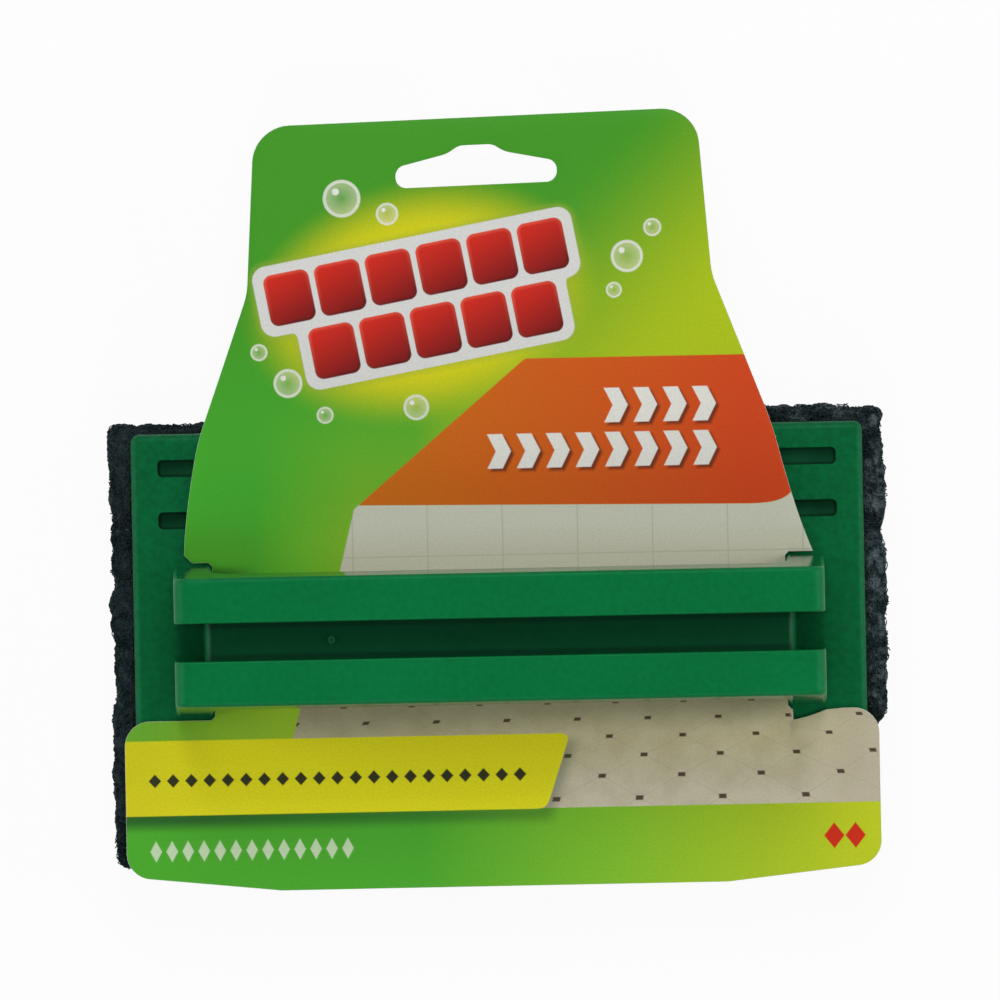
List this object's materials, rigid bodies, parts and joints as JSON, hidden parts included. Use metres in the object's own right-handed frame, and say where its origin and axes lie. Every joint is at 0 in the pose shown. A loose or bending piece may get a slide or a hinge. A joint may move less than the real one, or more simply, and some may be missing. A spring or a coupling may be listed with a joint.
{
  "type": "hand-held floor scrubber",
  "caption": "Hand-held floor scrubber: a bridge handle moulded on a flat plate, bonded to a scouring pad and threaded through a die-cut hang card.",
  "frame": {"origin": "on the plane of the pad's working face, straight below the middle of the handle", "axes": "+Z from the working face up to the handle, +X along the handle, +Y towards the hang tab"},
  "size_m": [0.1524, 0.1526, 0.0503],
  "materials": {
    "handle_plastic": "fine spark-eroded texture, green",
    "scouring_web": "coarse resin-bonded non-woven web, dark slate",
    "adhesive": "hot-melt film",
    "printed_board": "coated board, printed face with a plain grey-white back"
  },
  "bodies": {
    "scrubber": {"handle_plate": "handle_plastic", "adhesive_film": "adhesive", "scouring_pad": "scouring_web"},
    "card": {"hang_card": "printed_board"}
  },
  "joints": [
    {"name": "card_shift", "type": "slide", "parent": "scrubber", "child": "card", "axis": [0, 1, 0], "range_m": [-0.0005, 0.00085]}
  ]
}
